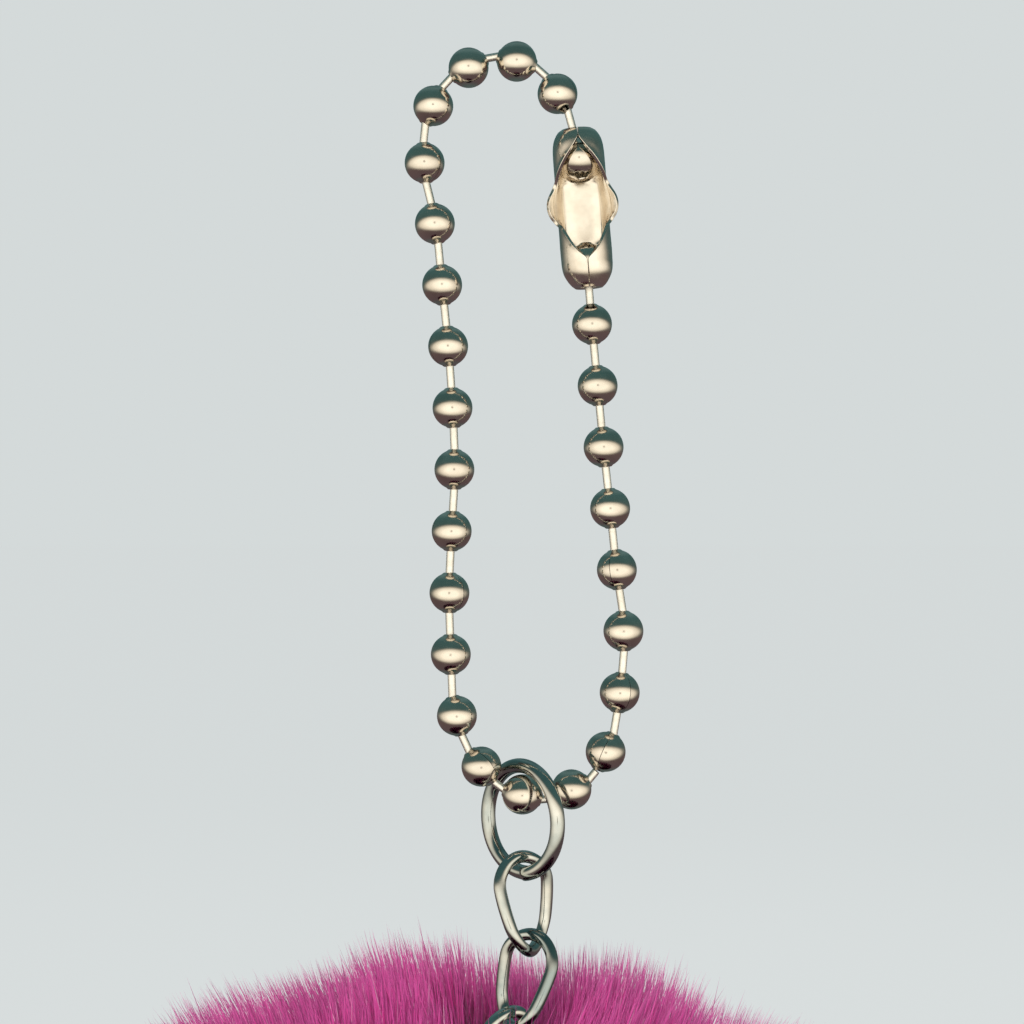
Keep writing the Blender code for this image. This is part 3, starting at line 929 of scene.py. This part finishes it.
@dataclass
class FurBall:
    """A stuffed knitted skin, its combed pile, and the ribbon tab that the last link carries."""

    frame: Frame
    shop: Workshop
    finishes: Finishes
    drop: float = 31.0 * MM  # the ball's centre below the wire that carries it
    skin_r: float = 26.9 * MM
    root_r: float = 26.5 * MM
    tip_r: float = 40.2 * MM
    strands: int = 150000
    per_piece: int = 19000
    tufts: int = 9000
    strand_d: float = 0.150 * MM
    lump_height: float = 0.55 * MM
    lump_pitch: float = 13.6 * MM
    lump_at: float = -4.6 * MM
    thin_below: float = 0.35  # the pile is sparser and coarser below this share of the radius
    thin_share: float = 0.34
    thin_width: float = 1.75
    waist_height: float = 0.62  # where a strand starts to taper, as a share of its length
    waist_width: float = 0.86
    root_scatter: float = 0.4  # as a share of the strands' spacing
    tuft_scatter: float = 0.012
    tuft_spread: float = 0.35 * MM
    sway: float = 0.045
    stray: float = 0.022
    short_by: float = 1.1 * MM
    long_share: float = 0.03
    long_by: float = 1.3 * MM
    bend_scatter: float = 0.25 * MM
    shade_r: float = 3.4 * MM  # painted shade: the strands are darker in colour about the parting
    pale_share: float = 0.018
    bare_r: float = 1.9 * MM  # kept bare round the tab
    part_at: float = 2.2 * MM
    part_width: float = 3.4 * MM
    part_push: float = 0.45 * MM
    part_close: float = 0.90 * MM
    part_depth: float = 1.5 * MM
    part_front: float = 1.5 * MM
    wire_clearance: float = 0.30 * MM
    tab_width: float = 1.40 * MM
    tab_thickness: float = 0.45 * MM
    tab_slack: float = 0.58 * MM
    body: str = "plush_cover"
    seed: int = 20

    def __post_init__(self) -> None:
        """Finds the ball's centre below its pivot."""
        self.hook = self.frame.pivot("plush_swing")
        self.centre = self.hook - UP * self.drop

    def skin(self) -> None:
        """Makes the knitted skin: eight gores drawn in a little along their seams."""
        bm = bmesh.new()
        bmesh.ops.create_uvsphere(bm, u_segments=96, v_segments=56, radius=self.skin_r)
        for vert in bm.verts:
            direction = vert.co.normalized()
            round_z = math.atan2(direction.y, direction.x)
            seam = abs(math.sin(4 * round_z)) ** 0.35
            level = 1.0 - direction.z**2
            vert.co -= direction * (0.45 * MM * (1.0 - seam) * level)
            lump = math.sin(direction.x * 9 + 1) * math.sin(direction.y * 8 + 2) * math.sin(direction.z * 7)
            vert.co += direction * (0.16 * MM * lump)
        piece = self.shop.piece("ball_skin", bm, Matrix.Translation(self.centre), 180.0)
        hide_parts(self.body)
        # the skin's colour is darkened as painted shade for the gaps in the pile
        self.shop.settle(piece, self.finishes.backing_with_painted_shade, Slot.FUR, self.body)

    def tab(self) -> None:
        """Folds the ribbon over the lowest wire and sews its two legs down."""
        inner = self.tab_slack
        outer = inner + self.tab_thickness
        leg = 4.4 * MM
        over = [(outer * math.cos(a), outer * math.sin(a)) for a in np.linspace(0, math.pi, 17)]
        under = [(inner * math.cos(a), inner * math.sin(a)) for a in np.linspace(math.pi, 0, 17)]
        outline = [(outer, -leg), *over, (-outer, -leg), (-inner, -leg), *under, (inner, -leg)]
        rise = (self.frame.pivot("link_4_swing") - self.hook).normalized()
        place = aligned(self.hook, rise, self.frame.axis("plush_swing"))
        bm = bmesh.new()
        face = bm.faces.new([bm.verts.new((-self.tab_width / 2, y, z)) for y, z in outline])
        made = bmesh.ops.extrude_face_region(bm, geom=[face])
        moved = [g for g in made["geom"] if isinstance(g, BMVert)]
        bmesh.ops.translate(bm, verts=moved, vec=(self.tab_width, 0.0, 0.0))
        piece = self.shop.piece("ribbon_tab", bm, place, 35.0)
        self.shop.soften(piece, 0.09 * MM, 3, 50.0)
        self.shop.settle(piece, self.finishes.ribbon, Slot.FUR, self.body)
        self.stitches(place, outer)

    def stitches(self, place: Matrix, outer: float) -> None:
        """Two rows of thread across the ribbon's front and back legs.

        Args:
            place: the tab's place.
            outer: from the tab's middle to its outer face.
        """
        bm = bmesh.new()
        for side in (-1.0, 1.0):
            for row in (0, 1):
                for across in (-0.42, 0.0, 0.42):
                    made = bmesh.ops.create_icosphere(bm, subdivisions=2, radius=0.07 * MM)
                    bmesh.ops.scale(bm, verts=made["verts"], vec=(2.4, 0.8, 1.0))
                    at = (across * MM, side * (outer + 0.01 * MM), -(1.15 + 0.35 * row) * MM)
                    bmesh.ops.translate(bm, verts=made["verts"], vec=at)
        piece = self.shop.piece("tab_stitches", bm, place, 180.0)
        self.shop.settle(piece, self.finishes.thread, Slot.FUR, self.body)

    def spread(self, count: int) -> np.ndarray:
        """Directions spread evenly over a ball.

        Args:
            count: how many.

        Returns:
            Unit vectors, one a row.
        """
        i = np.arange(count) + 0.5
        z = 1.0 - 2.0 * i / count
        turn = math.pi * (1.0 + math.sqrt(5.0)) * i
        r = np.sqrt(1.0 - z * z)
        return np.stack([r * np.cos(turn), r * np.sin(turn), z], axis=1)

    def strand_template(self) -> tuple[np.ndarray, list[list[int]]]:
        """One strand of unit width and length: a three-sided taper drawn to a point.

        Returns:
            Its vertices, and its faces as lists of vertex numbers.
        """
        bm = bmesh.new()
        bmesh.ops.create_circle(bm, cap_ends=True, segments=3, radius=1.0)
        face = bm.faces[:][0]
        made = bmesh.ops.extrude_face_region(bm, geom=[face])
        verts = [g for g in made["geom"] if isinstance(g, BMVert)]
        face = next(g for g in made["geom"] if isinstance(g, BMFace))
        ratio = self.waist_width / verts[0].co.xy.length
        for vert in verts:
            vert.co = Vector((vert.co.x * ratio, vert.co.y * ratio, self.waist_height))
        bmesh.ops.poke(bm, faces=[face])
        tip = max(bm.verts, key=lambda v: (round(v.co.z, 4), -v.co.xy.length))
        tip.co = Vector((0.0, 0.0, 1.0))
        bmesh.ops.recalc_face_normals(bm, faces=bm.faces)
        bm.verts.index_update()
        points = np.array([vert.co[:] for vert in bm.verts])
        faces = [[vert.index for vert in f.verts] for f in bm.faces]
        bm.free()
        return points, faces

    def link_wires(self) -> np.ndarray:
        """Points along the two lowest links' wires, from the ball's centre.

        Returns:
            The points, one a row.
        """
        wires = []
        for name in ("link_3", "link_4"):
            mesh = self.frame.nodes[name].data
            wires += [vert.co - self.centre for vert in mesh.vertices]
        return np.array([point[:] for point in wires])

    def strand_lines(self, rng: np.random.Generator) -> tuple[np.ndarray, ...]:
        """Lays out the strands: rooted evenly, gathered in tufts, combed out and parted round the links.

        Args:
            rng: the seeded source of variation.

        Returns:
            Roots, bends and tips from the ball's centre, and a tint from 0 to 1 for each strand, lowered
            round the parting as painted shade.
        """
        spacing = math.sqrt(4 * math.pi / self.strands)
        out = self.spread(self.strands) + rng.normal(0, spacing * self.root_scatter, (self.strands, 3))
        out /= np.linalg.norm(out, axis=1, keepdims=True)
        out = out[(out[:, 2] > self.thin_below) | (rng.random(self.strands) < self.thin_share)]
        count = len(out)
        tuft_out = self.spread(self.tufts) + rng.normal(0, self.tuft_scatter, (self.tufts, 3))
        tuft_out /= np.linalg.norm(tuft_out, axis=1, keepdims=True)
        tree = KDTree(self.tufts)
        for i, direction in enumerate(tuft_out):
            tree.insert(direction, i)
        tree.balance()
        tuft = np.array([tree.find(direction)[1] for direction in out])
        gather = rng.uniform(0.15, 0.75, (count, 1))
        sway = self.sway * np.stack(
            [
                np.sin(5.1 * out[:, 1] + 3.3 * out[:, 2]),
                np.sin(4.3 * out[:, 2] + 2.9 * out[:, 0] + 1.0),
                np.sin(4.7 * out[:, 0] + 3.7 * out[:, 1] + 2.0),
            ],
            axis=1,
        )
        stray = rng.normal(0, self.stray, (count, 3))
        tip_out = out * (1 - gather) + tuft_out[tuft] * gather + sway + stray
        tip_out /= np.linalg.norm(tip_out, axis=1, keepdims=True)
        tuft_length = rng.normal(0, self.tuft_spread, self.tufts)[tuft]
        reach = self.tip_r + tuft_length - np.abs(rng.normal(0, self.short_by, count))
        reach += np.where(rng.random(count) < self.long_share, rng.uniform(0, self.long_by, count), 0.0)
        lumps = (tip_out[:, 0] * self.tip_r - self.lump_at) / self.lump_pitch
        reach += self.lump_height * np.cos(2 * math.pi * lumps)
        tips = tip_out * reach[:, None]
        roots = out * self.root_r
        tips = self.parted(roots, tips)
        bends = roots + out * np.linalg.norm(tips - roots, axis=1, keepdims=True) * 0.5
        bends += rng.normal(0, self.bend_scatter, bends.shape)
        tone_and_shade = np.clip(rng.normal(0.5, 0.24, count) + rng.normal(0, 0.16, self.tufts)[tuft], 0, 1)
        # painted shade: strands whose tips lie over the parting at the crown are darkened in colour
        from_part = np.hypot(tips[:, 0] - self.part_at, tips[:, 1])
        shaded = np.exp(-((from_part / self.shade_r) ** 2)) * (tips[:, 2] > 0)
        tone_and_shade = tone_and_shade * (1.0 - 0.85 * shaded)
        keep = self.clear_of_links(roots, bends, tips)
        return roots[keep], bends[keep], tips[keep], tone_and_shade[keep]

    def parted(self, roots: np.ndarray, tips: np.ndarray) -> np.ndarray:
        """Opens the pile from front to back over the tab: deep in front of the links, shallow behind.

        Args:
            roots: the strands' roots.
            tips: their tips before parting.

        Returns:
            The tips after parting.
        """
        tips = tips.copy()
        crown = np.clip((tips[:, 2] / np.linalg.norm(tips, axis=1) - 0.80) / 0.14, 0, 1)
        offset = tips[:, 0] - self.part_at
        front = 1.0 / (1.0 + np.exp(tips[:, 1] / (1.2 * MM)))
        near = np.exp(-((offset / (self.part_width * 1.5)) ** 2)) * crown
        push = self.part_push * front - self.part_close * (1 - front)
        tips[:, 0] += np.where(offset < 0, -1, 1) * near * push
        narrow = np.exp(-((offset / self.part_width) ** 4)) * front * self.part_front
        wide = np.exp(-((offset / (self.part_width * 1.5)) ** 2)) * self.part_depth
        wide *= 0.25 + 0.75 * front
        length = np.linalg.norm(tips, axis=1)
        tips *= ((length - (wide + narrow) * crown) / length)[:, None]
        radial = np.hypot(roots[:, 0], roots[:, 1])
        spread = np.exp(-((radial / (4.5 * MM)) ** 2)) * crown
        away = roots[:, :2] / np.maximum(radial, 1e-6)[:, None]
        tips[:, :2] += away * (spread * 0.8 * MM)[:, None]
        return tips

    def clear_of_links(self, roots: np.ndarray, bends: np.ndarray, tips: np.ndarray) -> np.ndarray:
        """Which strands stay clear of the tab and of the lowest links.

        Args:
            roots: the strands' roots.
            bends: their middle control points.
            tips: their tips.

        Returns:
            True for each strand that stays.
        """
        keep = ~((np.hypot(roots[:, 0], roots[:, 1]) < self.bare_r) & (roots[:, 2] > 0))
        crown = (tips[:, 2] > 30 * MM) & (np.hypot(tips[:, 0], tips[:, 1]) < 12 * MM)
        near = np.flatnonzero(keep & crown)
        wires = self.link_wires()
        tree = KDTree(len(wires))
        for i, point in enumerate(wires):
            tree.insert(point, i)
        tree.balance()
        for t in (0.3, 0.5, 0.7, 0.85, 1.0):
            points = (1 - t) ** 2 * roots[near] + 2 * t * (1 - t) * bends[near] + t * t * tips[near]
            hit = np.array([tree.find(point)[2] < self.wire_clearance for point in points])
            keep[near[hit]] = False
        return keep

    def pile(self) -> None:
        """Makes the strands, in pieces small enough to store."""
        rng = np.random.default_rng(self.seed)
        roots, bends, tips, tone_and_shade = self.strand_lines(rng)
        shuffle = np.argsort(np.arctan2(roots[:, 1], roots[:, 0]), kind="stable")
        points, faces = self.strand_template()
        sizes = np.array([len(f) for f in faces])
        flat = np.concatenate([np.array(f) for f in faces])
        for number, first in enumerate(range(0, len(shuffle), self.per_piece), 1):
            chosen = shuffle[first : first + self.per_piece]
            lines = (roots[chosen], bends[chosen], tips[chosen], tone_and_shade[chosen])
            self.pile_piece(number, lines, (points, sizes, flat), rng)

    def pile_piece(
        self,
        number: int,
        lines: tuple[np.ndarray, ...],
        template: tuple[np.ndarray, ...],
        rng: np.random.Generator,
    ) -> None:
        """Makes one piece of pile from its strands' lines.

        Args:
            number: which piece it is.
            lines: the strands' roots, middle control points, tips and tints with painted shade.
            template: the strand's points, and its faces' sizes and corners.
            rng: the seeded source of variation.
        """
        points, sizes, flat = template
        roots, bends, tips, tone_and_shade = lines
        count = len(roots)
        t = points[:, 2][None, :, None]
        line = (1 - t) ** 2 * roots[:, None] + 2 * t * (1 - t) * bends[:, None] + t * t * tips[:, None]
        along = tips - roots
        along /= np.linalg.norm(along, axis=1, keepdims=True)
        side = np.cross(along, rng.normal(0, 1, along.shape))
        side /= np.linalg.norm(side, axis=1, keepdims=True)
        other = np.cross(along, side)
        coarse = np.where(roots[:, 2] > self.thin_below * self.root_r, 1.0, self.thin_width)
        width = (self.strand_d / 2 * rng.uniform(0.7, 1.3, count) * coarse)[:, None, None]
        shape = points[:, 0][None, :, None] * side[:, None] + points[:, 1][None, :, None] * other[:, None]
        placed = line + shape * width + np.array(self.centre)
        corners = (flat[None, :] + (np.arange(count) * len(points))[:, None]).ravel()
        mesh = bpy.data.meshes.new(f"pile_{number}")
        mesh.vertices.add(count * len(points))
        mesh.vertices.foreach_set("co", placed.astype(np.float32).ravel())
        mesh.loops.add(len(corners))
        mesh.loops.foreach_set("vertex_index", corners.astype(np.int32))
        totals = np.tile(sizes, count)
        mesh.polygons.add(len(totals))
        starts = np.concatenate([[0], np.cumsum(totals)[:-1]])
        mesh.polygons.foreach_set("loop_start", starts.astype(np.int32))
        mesh.update(calc_edges=True)
        mesh.shade_smooth()
        pale = np.where(rng.random(count) < self.pale_share, rng.uniform(0.3, 0.8, count), 0.0)
        values = np.ones((count, len(points), 4), np.float32)
        values[:, :, 0] = points[:, 2]
        values[:, :, 1] = tone_and_shade[:, None]
        values[:, :, 2] = pale[:, None]
        layer = mesh.attributes.new("strand", "FLOAT_COLOR", "POINT")
        layer.data.foreach_set("color", values.ravel())
        obj = linked(mesh.name, mesh)
        obj.visible_glossy = False  # polished metal shows the darker skin below, not single strands
        self.shop.settle(obj, self.finishes.pile, Slot.FUR, self.body)

    def build(self) -> None:
        """Makes the ball, from the filling out."""
        filling = self.frame.nodes["stuffing"]
        for slot in filling.material_slots:
            slot.material = self.finishes.filling
        self.skin()
        self.tab()
        self.pile()


@dataclass
class Studio:
    """A pale floor, soft lights and a level camera square to the loop."""

    lens: float = 80.0
    distance: float = 136.53 * MM
    aim: tuple[float, float] = (1.209 * MM, -27.03 * MM)
    floor_z: float = -0.150
    floor_side: float = 16.0
    floor_glow: float = 0.95
    backdrop: Colour = (0.66, 0.70, 0.70)
    ambient: Colour = (0.62, 0.62, 0.63)
    window: tuple[float, float] = (0.85, 0.345)  # half its width and height on a round bead's face
    window_up: float = -0.045
    eye: Colour = (0.32, 0.26, 0.20)
    glow: tuple[tuple[float, Colour], ...] = (
        (0.00, (1.55, 1.50, 1.33)),
        (0.32, (1.45, 1.38, 1.20)),
        (0.50, (1.00, 0.93, 0.79)),
        (0.64, (0.52, 0.48, 0.40)),
        (0.80, (0.20, 0.21, 0.19)),
    )
    beyond: tuple[tuple[float, Colour], ...] = (
        (0.04, (0.090, 0.125, 0.125)),
        (0.14, (0.120, 0.085, 0.095)),
        (0.32, (0.135, 0.095, 0.095)),
        (0.50, (0.100, 0.130, 0.125)),
        (0.70, (0.058, 0.125, 0.125)),
        (0.82, (0.055, 0.130, 0.135)),
        (0.92, (0.115, 0.210, 0.220)),
        (0.97, (0.070, 0.140, 0.145)),
    )

    def camera(self) -> None:
        """Sets the camera level, looking along +Y."""
        data = bpy.data.cameras.new("camera")
        data.lens = self.lens
        data.sensor_width = 36.0
        data.clip_start, data.clip_end = 0.002, 20.0
        camera = linked("camera", data)
        camera.location = (self.aim[0], -self.distance, self.aim[1])
        camera.rotation_euler = (math.pi / 2, 0.0, 0.0)
        bpy.context.scene.camera = camera

    def floor(self) -> None:
        """Lays the plain floor."""
        bm = bmesh.new()
        bmesh.ops.create_grid(bm, x_segments=1, y_segments=1, size=self.floor_side / 2)
        mesh = bpy.data.meshes.new("floor")
        bm.to_mesh(mesh)
        bm.free()
        floor = linked("floor", mesh)
        floor.location = (0.0, 0.0, self.floor_z)
        paint = bpy.data.materials.new("Pale studio floor")
        nodes = NodeTree(paint)
        nodes.shader.inputs["Roughness"].default_value = 0.9
        nodes.shader.inputs["Base Color"].default_value = (0.05, 0.05, 0.05, 1.0)
        nodes.shader.inputs["Specular IOR Level"].default_value = 0.0
        nodes.shader.inputs["Emission Color"].default_value = (*self.backdrop, 1.0)
        nodes.shader.inputs["Emission Strength"].default_value = self.floor_glow
        floor.data.materials.append(paint)
        floor.visible_glossy = False
        floor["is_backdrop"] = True

    def light(self, name: str, place: Vector, side: float, power: float, colour: tuple) -> None:
        """Adds a soft square light aimed at the keychain's middle.

        Args:
            name: the light's name.
            place: where it stands.
            side: its width.
            power: its power in watts.
            colour: its colour.
        """
        data = bpy.data.lights.new(name, "AREA")
        data.shape = "SQUARE"
        data.size, data.energy, data.color = side, power, colour
        light = linked(name, data)
        light.location = place
        light.rotation_euler = (Vector((0.0, 0.0, -0.05)) - place).to_track_quat("-Z", "Y").to_euler()
        light.visible_glossy = False

    def reflections(self, nodes: NodeTree) -> Socket:
        """What the metal sees: a wide soft window at eye level, dark above it and warm and dark below.

        The window is laid out by the half-way direction between the line of sight and the reflected ray,
        so it keeps its oval outline on every round bead.

        Args:
            nodes: the world's nodes.

        Returns:
            The reflected colour's socket.
        """
        place, split = nodes.add("ShaderNodeTexCoord"), nodes.add("ShaderNodeSeparateXYZ")
        nodes.wire(place.outputs["Generated"], split.inputs["Vector"])
        x, y, z = (split.outputs[axis] for axis in "XYZ")
        size = nodes.sum("SQRT", nodes.sum("MAXIMUM", nodes.sum("MULTIPLY_ADD", y, -2.0, 2.0), 1e-4))
        across, up = nodes.sum("DIVIDE", x, size), nodes.sum("DIVIDE", z, size)
        wide = nodes.sum("POWER", nodes.sum("ABSOLUTE", nodes.sum("DIVIDE", across, self.window[0])), 2.0)
        raised = nodes.sum("SUBTRACT", up, self.window_up)
        tall = nodes.sum("POWER", nodes.sum("ABSOLUTE", nodes.sum("DIVIDE", raised, self.window[1])), 2.0)
        out = nodes.sum("SQRT", nodes.sum("ADD", wide, tall))
        glow = nodes.ramp(nodes.sum("DIVIDE", out, 1.6), self.glow)
        shade = nodes.sum("SMOOTH_MIN", 1.0, nodes.sum("DIVIDE", out, 1.6), 0.1)
        beyond = nodes.ramp(nodes.sum("MULTIPLY_ADD", up, 0.5, 0.5), self.beyond)
        rim = {"From Min": 0.52, "From Max": 0.74}
        edge = nodes.add("ShaderNodeMapRange", rim, interpolation_type="SMOOTHSTEP")
        nodes.wire(shade, edge.inputs["Value"])
        front = nodes.blend(edge.outputs["Result"], glow, beyond)
        squares = (nodes.sum("POWER", across, 2.0), nodes.sum("POWER", up, 2.0))
        eye = nodes.sum("SQRT", nodes.sum("ADD", *squares))
        pupil = {"From Min": 0.03, "From Max": 0.075, "To Min": 0.75, "To Max": 0.0}
        dot = nodes.add("ShaderNodeMapRange", pupil)
        nodes.wire(eye, dot.inputs["Value"])
        return nodes.blend(dot.outputs["Result"], front, self.eye)

    def room(self) -> None:
        """Colours the room: pale to look at, even on cloth, with a soft window for the metal."""
        world = bpy.data.worlds.new("studio room")
        bpy.context.scene.world = world
        nodes = NodeTree(world)
        rays = nodes.add("ShaderNodeLightPath")
        lit = nodes.blend(rays.outputs["Is Glossy Ray"], self.ambient, self.reflections(nodes))
        seen = nodes.blend(rays.outputs["Is Camera Ray"], lit, self.backdrop)
        nodes.wire(seen, nodes.shader.inputs["Color"])

    def build(self) -> None:
        """Sets the room, the lights, the floor and the camera."""
        bpy.context.scene.view_settings.view_transform = "Standard"
        self.camera()
        self.floor()
        self.room()
        self.light("key light", Vector((-0.25, -0.45, 0.35)), 0.30, 2.6, (1.0, 0.97, 0.93))
        self.light("fill light", Vector((0.45, -0.30, 0.05)), 0.40, 1.2, (0.95, 0.98, 1.0))
        self.light("back light", Vector((0.10, 0.50, 0.30)), 0.40, 1.6, (1.0, 0.98, 0.96))


def main() -> None:
    """Builds the keychain from the loop down, then the studio."""
    logging.basicConfig(level=logging.INFO, format="%(name)s: %(message)s")
    frame = Frame()
    shop, finishes = Workshop(), Finishes()
    Studio().build()
    BallChain(frame, shop, finishes).build()
    SnapConnector(frame, shop, finishes).build()
    WireWork(frame, shop, finishes).build()
    FurBall(frame, shop, finishes).build()
    LOG.info("%d pieces made", len(shop.made))


if __name__ == "__main__":
    main()
